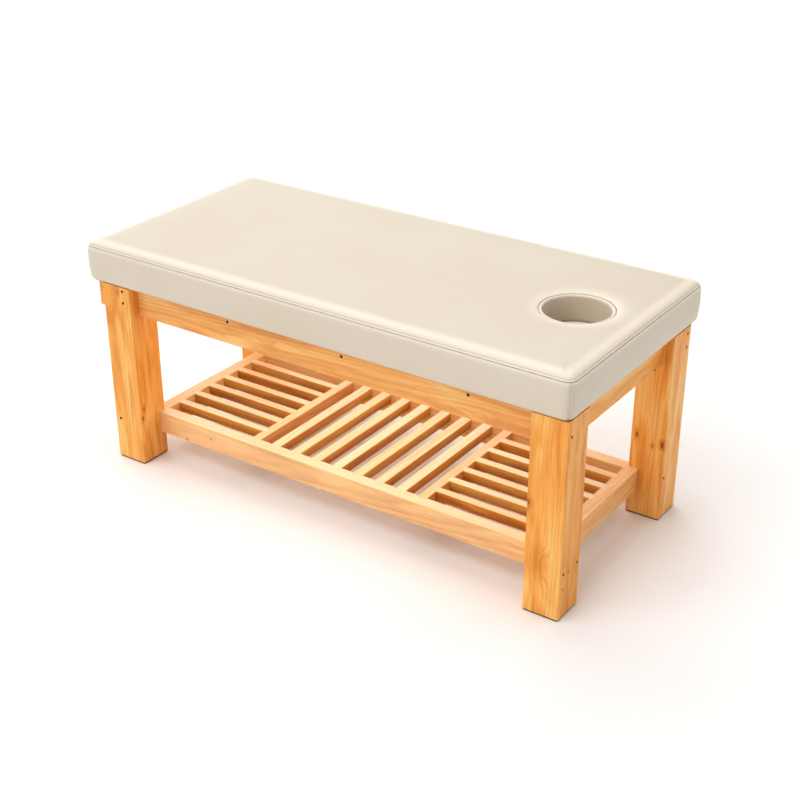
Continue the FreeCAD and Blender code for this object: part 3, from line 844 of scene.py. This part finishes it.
def mattress_points():
    """The whole cover as one sheet: rows round the rim, a grid inside them and the hole.

    Returns the points, the faces of each panel, and the numbers of the points that are held,
    lie in a seam or carry the topstitch."""
    bed, cover, stitch = Mattress(), settings("cover"), settings("stitch")
    rows, border_rows, stitch_row = rim_rows(bed, cover, stitch)
    rim_i, rim_j = rim_loop()
    count = len(rim_i)
    points = []

    def add_row(x, y, inset, height):
        z = top_height(bed, cover, inset, x, y) if height is None else np.full(len(x), height)
        points.append(np.stack([x, y, z], axis=1))

    # The corner's radius shrinks as a row lies further in, down to the inner grid's
    outer = cover.corner_radius
    for inset, height in rows:
        radius = max(outer ** 2 / (outer + max(inset, 0.0)), INNER_RADIUS)
        x, y = rounded_place(rim_i, rim_j, bed.half_long - inset, bed.half_wide - inset, radius)
        add_row(x, y, inset, height)
    faces_border = strip_faces(border_rows, count)
    faces_top = strip_faces(len(rows) - border_rows + 1, count) + (border_rows - 1) * count

    # Inner grid, whose rim is the last row
    i, j = np.meshgrid(np.arange(GRID_LONG + 1), np.arange(GRID_WIDE + 1), indexing="ij")
    half_long, half_wide = bed.half_long - INNER_INSET, bed.half_wide - INNER_INSET
    x, y = rounded_place(i, j, half_long, half_wide, INNER_RADIUS)

    # Round the hole, square rings of cells turn into circles
    step = 2 * (half_long - INNER_RADIUS) / CELLS_LONG
    hole_i = CELLS_CORNER + round((bed.hole_x + half_long - INNER_RADIUS) / step)
    hole_j = GRID_WIDE // 2
    di, dj = i - hole_i, j - hole_j
    ring = np.maximum(np.abs(di), np.abs(dj))
    lean_i, lean_j = (d / np.maximum(ring, 1) * math.pi / 4 for d in (di, dj))
    angle = np.where(np.abs(di) >= np.abs(dj), np.where(di > 0, lean_j, math.pi - lean_j),
                     np.where(dj > 0, math.pi / 2 - lean_i, lean_i - math.pi / 2))
    circle = bed.ring + HOLE_MARGIN
    share = np.clip((ring - HOLE_CELLS) / (HOLE_REACH - HOLE_CELLS), 0, 1)
    x = x * share + (bed.hole_x + circle * np.cos(angle)) * (1 - share)
    y = y * share + circle * np.sin(angle) * (1 - share)
    inset = rim_distance(bed, cover.corner_radius, x, y)

    # Grid points get numbers after the rows', apart from the rim and what the hole swallows
    start = len(rows) * count
    number = np.full(i.shape, -1)
    number[rim_i, rim_j] = start - count + np.arange(count)
    inner = (number < 0) & (ring >= HOLE_CELLS)
    number[inner] = start + np.arange(inner.sum())
    add_row(x[inner], y[inner], inset[inner], None)
    start += int(inner.sum())
    cell = np.stack([number[:-1, :-1], number[1:, :-1], number[1:, 1:], number[:-1, 1:]], axis=-1)
    middle_ring = np.maximum(np.abs(di[:-1, :-1] + 0.5), np.abs(dj[:-1, :-1] + 0.5))
    faces_grid = cell[(cell >= 0).all(axis=-1) & (middle_ring > HOLE_CELLS)]

    on_ring = ring == HOLE_CELLS
    spins = np.mod(angle[on_ring], 2 * math.pi)
    order = np.argsort(spins)
    loop, spins = number[on_ring][order], spins[order]
    around = len(loop)
    profile, seam_row, ledge_row = hole_profile(bed, cover)
    for radius, height in profile:
        add_row(bed.hole_x + radius * np.cos(spins), radius * np.sin(spins), 1.0, height)
    after = start + np.arange(around)
    first = np.stack([loop, np.roll(loop, -1), np.roll(after, -1), after], axis=-1)
    rings = strip_faces(len(profile), around) + start
    split = seam_row * around
    panels = {"border": faces_border,
              "top": np.concatenate([faces_top, faces_grid, first, rings[:split]]),
              "lining": rings[split:]}
    end = start + len(profile) * around
    rows_of = {
        "held": np.concatenate([np.arange(3 * count), np.arange(end - 3 * around, end)]),
        "seam": np.concatenate([np.arange((border_rows - 1) * count, border_rows * count),
                                after + seam_row * around, after + ledge_row * around]),
        "topstitch": np.arange(stitch_row * count, (stitch_row + 1) * count),
    }
    return np.concatenate(points), panels, rows_of, bed


def swollen(points, faces, rows_of):
    """Lets the foam push the cover out: a cloth under pressure, held at the seams and below.

    The move of each point is capped at the swell and then evened out."""
    cover, scene = settings("cover"), bpy.context.scene
    sheet = mesh_object("cover for the simulation", points, faces)
    held = sheet.vertex_groups.new(name="held")
    for title, weight in (("held", 1.0), ("seam", 0.9)):
        held.add(rows_of[title].tolist(), weight, "REPLACE")
    cloth = sheet.modifiers.new("Cloth", "CLOTH").settings
    for name, value in {"quality": 5, "mass": 0.3, "tension_stiffness": 40,
                        "compression_stiffness": 40, "bending_stiffness": 2,
                        "use_pressure": True, "uniform_pressure_force": cover.pressure,
                        "vertex_group_mass": "held"}.items():
        setattr(cloth, name, value)
    cloth.effector_weights.gravity = 0
    for frame_number in range(1, CLOTH_FRAMES + 1):
        scene.frame_set(frame_number)
    move = read(evaluated(sheet).vertices, "co") - points
    scene.frame_set(1)
    remove(sheet)
    far = np.linalg.norm(move, axis=1, keepdims=True)
    move *= np.minimum(1, cover.swell / np.maximum(far, 1e-9))
    return points + eased(move, faces, np.concatenate([rows_of["held"], rows_of["seam"]]),
                          EASING_PASSES)


def vinyl_material():
    """Cream upholstery vinyl (PVC on a knit), embossed: a soft satin sheen with a fine pebble.

    The pebbles are drawn a little coarser than life, so that they show."""
    cover = settings("cover")
    material, add = new_material("embossed cream vinyl")
    place = add("TexCoord", out="Object")
    broad = add("TexNoise", place, Scale=3.0, Detail=3.0)
    warm = add("MapRange", broad, 0.35, 0.65)
    plain = add("MixRGB", warm, cover.vinyl, cover.vinyl_warm)
    # Painted highlight, partly stretched vinyl: paler on the roll, beside the seams, round the
    # face hole and on its ledge
    tight_and_lit = add("Attribute", attribute_name="tight_and_lit", out="Fac")
    paler = add("MixRGB", tight_and_lit, plain, cover.drawn)
    # Painted shade: darker in and beside the seams and down the hole's wall
    seam = add("Attribute", attribute_name="seam", out="Fac")
    base = add("MixRGB", seam, paler, cover.painted_seam_shade)
    pebbles = add("TexVoronoi", place, Scale=1 / cover.grain_size, Randomness=0.9,
                  feature="SMOOTH_F1", out="Distance")
    creases = add("TexNoise", place, Scale=260.0, Detail=3.0, Distortion=0.6)
    height = add("Math MULTIPLY_ADD", creases, 0.7, pebbles)
    fine = add("Bump", Strength=0.16, Distance=0.15 * MM, Height=height)
    ripple = add("TexNoise", place, Scale=16.0, Detail=2.0)
    soft = add("Bump", Strength=0.25, Distance=1.2 * MM, Height=ripple, Normal=fine)
    rough = add("MapRange", creases, 0.0, 1.0, 0.36, 0.5)
    return finish_material(material, Base_Color=base, Roughness=rough, IOR=1.5,
                           Specular_IOR_Level=0.4, Coat_Weight=0.06, Coat_Roughness=0.3,
                           Normal=soft)


def subdivided(points, faces):
    """One level of smooth subdivision, applied, as points and faces."""
    obj = mesh_object("panel to divide", points, faces)
    smooth = obj.modifiers.new("Subdivision", "SUBSURF")
    smooth.levels = smooth.render_levels = 1
    shown = evaluated(obj)
    fine = read(shown.vertices, "co")
    quads = read(shown.loops, "vertex_index", 1, int).reshape(-1, 4)
    remove(obj)
    return fine, quads


def puckered(points, faces, bed, panel):
    """Draws in the topstitch and corner seams, and raises the small puckers beside them.

    Each groove is a bell curve across its seam. The puckers are a sum of sines along the seam,
    each with its own length and phase, and fade as an exponential of the distance from it.
    Also returns how much painted shade each point takes in and beside a seam, which down the
    hole's wall deepens towards the ledge, and how much painted highlight it takes where the vinyl
    is also stretched, mostly bell curves of the distance."""
    cover, edge = settings("cover"), settings("stitch").edge
    draw = np.random.default_rng(23)
    lengths = draw.uniform(17, 60, 6) * MM
    phases = draw.uniform(0, 2 * math.pi, 6)

    def waves(at):
        return np.sin(2 * math.pi * at[:, None] / lengths + phases).mean(axis=1)

    flat = mesh_object("panel to measure", points, faces)
    normals = read(flat.data.vertices, "normal")
    remove(flat)
    x, y, z = points.T
    radius, pucker = cover.corner_radius, cover.pucker
    along = waves(np.where(np.abs(x) / bed.half_long > np.abs(y) / bed.half_wide, y, x))
    around = waves(np.arctan2(y, x - bed.hole_x) * bed.ring)
    near_ring = np.hypot(x - bed.hole_x, y) - bed.ring
    if panel == "top":
        inset = np.maximum(rim_distance(bed, radius, x, y), 0)
        arc = np.hypot(inset, np.maximum(z - bed.seam, 0))
        lift = (pucker * along * fade(arc, 16) + pucker * around * fade(np.abs(near_ring), 14)
                - 0.55 * MM * bell(arc - edge, 1.3))
        # Painted shade in the edge seam, at the hole's seam and along the topstitch; painted
        # highlight on the roll, in a strip beside the seam and round the hole
        seam = bell(arc, 0.9) + 0.35 * bell(near_ring, 1.1) + 0.28 * bell(arc - edge, 0.9)
        tight_and_lit = (bell(arc - 30 * MM, 16) + 0.7 * bell(arc - 4 * MM, 2.5)
                 + 0.8 * bell(near_ring, 28))
    elif panel == "border":
        below = bed.seam - z
        corner = corner_seam_distance(bed, radius, x, y)
        up = z - bed.under + 0.3 * MM
        side = np.clip(up / (4 * MM), 0, 1)
        lift = (pucker * along * fade(below, 18)
                + side * (0.4 * MM * bell(corner - 4 * MM, 3) - 1.5 * MM * bell(corner, 1.6)
                          + 0.6 * pucker * waves(z) * fade(corner, 12))) * (up > 1 * MM)
        # Painted shade in the top seam and the corner seams, and a painted highlight just below
        # the top seam
        seam = bell(below, 0.9) + 0.3 * bell(corner, 0.9) * side
        tight_and_lit = 0.6 * bell(below - 4 * MM, 6)
    else:
        deep = np.clip((bed.top - z) / (30 * MM), 0, 1)
        foot = z - bed.top + cover.ledge_depth
        inwards = bed.wall - bed.ring - near_ring
        wall = np.clip(1 - (inwards - 4 * MM) / (6 * MM), 0, 1)
        lift = 0.8 * pucker * around * (1 - 0.6 * deep)
        # Painted shade at the hole's seam and where the wall meets the ledge, deepening down the
        # lower wall; painted highlight just inside the mouth and on the ledge
        seam = (0.35 * bell(near_ring, 1.1) + bell(np.hypot(inwards, foot) - 1.5 * MM, 2.5)
                + 0.3 * np.clip(1 - foot / (60 * MM), 0, 1) * wall)
        tight_and_lit = bell(near_ring + 7 * MM, 5) * (1 - deep) + (1 - wall) * (foot > -4 * MM)
    return points + normals * lift[:, None], np.clip(seam, 0, 1), np.clip(tight_and_lit, 0, 1)


def cover_panel(name, nodes, points, faces, bed, panel, vinyl):
    """One sewn panel of the cover as a closed skin of the vinyl's thickness."""
    used, renumbered = np.unique(faces, return_inverse=True)
    fine, quads = subdivided(points[used], renumbered.reshape(faces.shape))
    fine, seam, tight_and_lit = puckered(fine, quads, bed, panel)
    piece = new_piece(name, fine, quads, "mattress", vinyl)
    # Keeps the painted seam shade and the painted highlight on the points, for the vinyl's colour
    for title, values in (("seam", seam), ("tight_and_lit", tight_and_lit)):
        store = piece.data.attributes.new(title, "FLOAT", "POINT")
        store.data.foreach_set("value", values)
    skin = piece.modifiers.new("Skin", "SOLIDIFY")
    skin.thickness = settings("cover").thickness
    skin.offset = -1
    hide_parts(*nodes)


class BED_OT_cover(bpy.types.Operator):
    """Makes the mattress cover: top panel, border and the lining of the face hole"""
    bl_idname = "bed.cover"
    bl_label = "Sew the mattress cover"

    def execute(self, context):
        points, panels, rows_of, bed = mattress_points()
        points = swollen(points, np.concatenate(list(panels.values())), rows_of)
        vinyl = vinyl_material()
        nodes = {"top": ("cover_top_panel", "foam_core"), "border": ("cover_border",),
                 "lining": ("cover_hole_lining",)}
        for panel, faces in panels.items():
            cover_panel("sewn_" + panel, nodes[panel], points, faces, bed, panel, vinyl)
        context.scene["topstitch"] = points[rows_of["topstitch"]].ravel().tolist()
        return {"FINISHED"}


def thread_material():
    """Bonded polyester thread, twisted: beige, with a slight sheen and a diagonal twist."""
    stitch = settings("stitch")
    material, add = new_material("twisted polyester thread")
    place = add("TexCoord", out="Object")
    twist = add("TexWave", place, Scale=0.16 / stitch.thread, Distortion=0.4,
                bands_direction="DIAGONAL", out="Fac")
    base = tinted(add, stitch.yarn, twist, 0.72, 1.05)
    return finish_material(material, Base_Color=base, Roughness=0.6, Sheen_Weight=0.3)


def evenly(line, pitch):
    """Points at an even pitch along a line, and its direction there."""
    run = np.concatenate([[0], np.cumsum(np.linalg.norm(np.diff(line, axis=0), axis=1))])
    count = max(2, round(run[-1] / pitch))
    at = (np.arange(count) + 0.5) * run[-1] / count
    place, ahead = (np.stack([np.interp(at + step, run, line[:, k]) for k in range(3)], axis=1)
                    for step in (0, 1 * MM))
    return place, ahead - place


def stitches(place, way, panel):
    """Short arched threads that lie on a panel.

    Along each stitch the thread's middle rises over the surface as 1 - t to the fourth, so
    that its two ends dive into the needle holes, and six-sided rings are carried along it."""
    stitch = settings("stitch")
    skin = bmesh.new()
    skin.from_mesh(panel.data)
    tree = BVHTree.FromBMesh(skin)
    skin.free()
    hits = [tree.find_nearest(Vector(p)) for p in place]
    seat, out = (np.array([hit[k] for hit in hits]) for k in (0, 1))
    way = way / np.linalg.norm(way, axis=1, keepdims=True)
    way -= out * (way * out).sum(axis=1, keepdims=True)
    way /= np.linalg.norm(way, axis=1, keepdims=True)
    side = np.cross(out, way)
    t, sides = np.linspace(-1, 1, 7), 6
    spin = 2 * math.pi * np.arange(sides) / sides
    radius = stitch.thread / 2
    slender = np.sqrt(np.clip(1 - 0.75 * t ** 8, 0.05, 1)) * radius
    rise = radius * (1.5 * (1 - t ** 4) - 0.9)
    middle = (seat[:, None] + way[:, None] * (t * stitch.stitch / 2)[None, :, None]
              + out[:, None] * rise[None, :, None])
    ring = (side[:, None, None] * np.cos(spin)[None, None, :, None]
            + out[:, None, None] * np.sin(spin)[None, None, :, None])
    points = middle[:, :, None] + ring * slender[None, :, None, None]
    per = len(t) * sides
    caps = np.array([np.arange(sides)[::-1], per - sides + np.arange(sides)])
    faces = [face for shape in (strip_faces(len(t), sides), caps)
             for face in repeated(shape, len(seat), per).tolist()]
    return points.reshape(-1, 3), faces


class BED_OT_stitching(bpy.types.Operator):
    """Sews the topstitch round the top and beside the corner seams"""
    bl_idname = "bed.stitching"
    bl_label = "Sew the topstitching"

    def execute(self, context):
        stitch, bed = settings("stitch"), Mattress()
        rim = np.array(context.scene["topstitch"]).reshape(-1, 3)
        radius = settings("cover").corner_radius
        corners = []
        for sx in (-1, 1):
            for sy in (-1, 1):
                for aside in (-1, 1):
                    turn = math.pi / 4 + aside * 0.75 * stitch.edge / radius
                    x = sx * (bed.half_long - radius + radius * math.cos(turn))
                    y = sy * (bed.half_wide - radius + radius * math.sin(turn))
                    corners.append(np.array([(x, y, bed.under + 7.7 * MM),
                                             (x, y, bed.seam - 5 * MM)]))
        thread = thread_material()
        for name, panel, lines in (
                ("edge_topstitch", "sewn_top", [np.concatenate([rim, rim[:1]])]),
                ("corner_topstitch", "sewn_border", corners)):
            runs = [evenly(line, stitch.pitch) for line in lines]
            place, way = (np.concatenate([run[k] for run in runs]) for k in (0, 1))
            points, faces = stitches(place, way, bpy.data.objects[panel])
            weld(new_piece(name, points, faces, "mattress", thread))
        return {"FINISHED"}


def plywood_material():
    """Poplar plywood, rotary peeled and sanded: pale faces with broad figure, edges in plies."""
    low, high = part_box("base_board")
    material, add = new_material("sanded poplar plywood")
    place = add("TexCoord").node.outputs
    stretched = add("Mapping", place["Object"], Scale=(1.2, 14.0, 60.0), vector_type="POINT")
    figure = add("TexNoise", stretched, Scale=3.0, Detail=5.0, Distortion=1.2)
    face = add("MixRGB", figure, linear("#C9A878"), linear("#E6CDA2"))
    up = add("SeparateXYZ", place["Object"], out="Z")
    plies = add("MapRange", up, low.z, high.z, 0.0, 4.5 * 2 * math.pi)
    wave = add("Math SINE", plies)
    dark = add("MapRange", wave, -1.0, 1.0, 0.55)
    edge = add("VectorMath SCALE", face, Scale=dark)
    level = add("SeparateXYZ", place["Normal"], out="Z")
    flat = add("Math ABSOLUTE", level)
    base = add("MixRGB", flat, edge, face)
    bump = add("Bump", Strength=0.3, Distance=0.3 * MM, Height=figure)
    return finish_material(material, Base_Color=base, Roughness=0.7, Normal=bump)


class BED_OT_board(bpy.types.Operator):
    """Finishes the plywood board under the foam"""
    bl_idname = "bed.board"
    bl_label = "Finish the base board"

    def execute(self, context):
        paint(frame["nodes"]["base_board"], plywood_material())
        return {"FINISHED"}


class BED_OT_stage(bpy.types.Operator):
    """Lays the pale floor, hangs the soft lights and sets up the camera"""
    bl_idname = "bed.stage"
    bl_label = "Set the stage"

    def execute(self, context):
        stage, scene = settings("stage"), context.scene
        half = stage.floor_width / 2
        floor = mesh_object("floor", [(-half, -half, 0), (half, -half, 0), (half, half, 0),
                                      (-half, half, 0)], [(0, 1, 2, 3)])
        paint(floor, finish_material(new_material("matt white floor paint")[0],
                                     Base_Color=stage.floor, Roughness=0.9))

        # White near the horizon, as a lit backdrop is, and dimmer higher up
        world = bpy.data.worlds.new("even white studio")
        world.use_nodes = True
        tree = world.node_tree
        add = partial(add_node, tree)
        up = add("SeparateXYZ", add("TexCoord", out="Generated"), out="Z")
        glow = add("MapRange", up, 0.1, 0.25, 1.0, stage.sky, interpolation_type="SMOOTHSTEP")
        fill(tree, tree.nodes["Background"].inputs, {"Color": (1, 1, 1), "Strength": glow})
        scene.world = world

        # The light from behind comes in under the mattress and lights the tops of the slats
        white = (1.0, 1.0, 1.0)
        for name, towards, strength, spread, tint in (
                ("above", (-0.1, -0.15, 1.0), stage.above, 60, white),
                ("behind", (-0.7, 0.5, 0.6), stage.behind, 60, white),
                ("rim", (0.45, 0.75, 0.5), stage.rim, 40, stage.rim_colour),
                ("front", (-0.3, -0.75, 0.75), stage.front, 50, white)):
            light = bpy.data.lights.new(name, "SUN")
            light.energy, light.color, light.angle = strength, tint, math.radians(spread)
            turn = Vector(towards).to_track_quat("Z", "Y")
            add_object(name, light).rotation_euler = turn.to_euler()

        # A soft panel under the bearers lights the slats, which the mattress would shade
        light = bpy.data.lights.new("under", "AREA")
        light.shape = "RECTANGLE"
        light.size, light.size_y, light.energy = 1.3, 0.6, stage.under
        lamp = add_object("under", light)
        lamp.location = (0.03, -0.02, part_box("deck_bearer_1")[0].z - 8 * MM)
        lamp.visible_camera = False

        camera = add_object("camera", bpy.data.cameras.new("camera"))
        camera.data.lens, camera.data.sensor_width = stage.lens, 36.0
        camera.location = stage.place
        camera.rotation_euler = (math.pi / 2 - stage.elevation, 0, stage.azimuth)
        scene.camera = camera
        scene.view_settings.view_transform = "Standard"
        scene.view_settings.gamma = stage.gamma
        return {"FINISHED"}


OPERATORS = (BED_OT_boards, BED_OT_fixings, BED_OT_board, BED_OT_cover, BED_OT_stitching,
             BED_OT_stage)
GROUPS = {"pine": PineSettings, "fixing": FixingSettings, "cover": CoverSettings,
          "stitch": StitchSettings, "stage": StageSettings}


class BED_PT_panel(bpy.types.Panel):
    """The pieces of the massage bed, in the order in which they are made"""
    bl_label = "Massage bed"
    bl_idname = "BED_PT_panel"
    bl_space_type = "VIEW_3D"
    bl_region_type = "UI"
    bl_category = "Massage bed"

    def draw(self, context):
        for operator in OPERATORS:
            self.layout.operator(operator.bl_idname)


def register():
    """Registers the settings, the operators and the panel."""
    for name, group in GROUPS.items():
        bpy.utils.register_class(group)
        setattr(bpy.types.Scene, name, PointerProperty(type=group))
    for kind in (*OPERATORS, BED_PT_panel):
        bpy.utils.register_class(kind)


def unregister():
    """Takes back what register did."""
    for kind in (BED_PT_panel, *reversed(OPERATORS)):
        bpy.utils.unregister_class(kind)
    for name, group in GROUPS.items():
        delattr(bpy.types.Scene, name)
        bpy.utils.unregister_class(group)


def main():
    """Makes the whole bed and its stage."""
    register()
    bpy.ops.bed.boards()
    bpy.ops.bed.fixings()
    bpy.ops.bed.board()
    bpy.ops.bed.cover()
    bpy.ops.bed.stitching()
    bpy.ops.bed.stage()


if __name__ == "__main__":
    main()
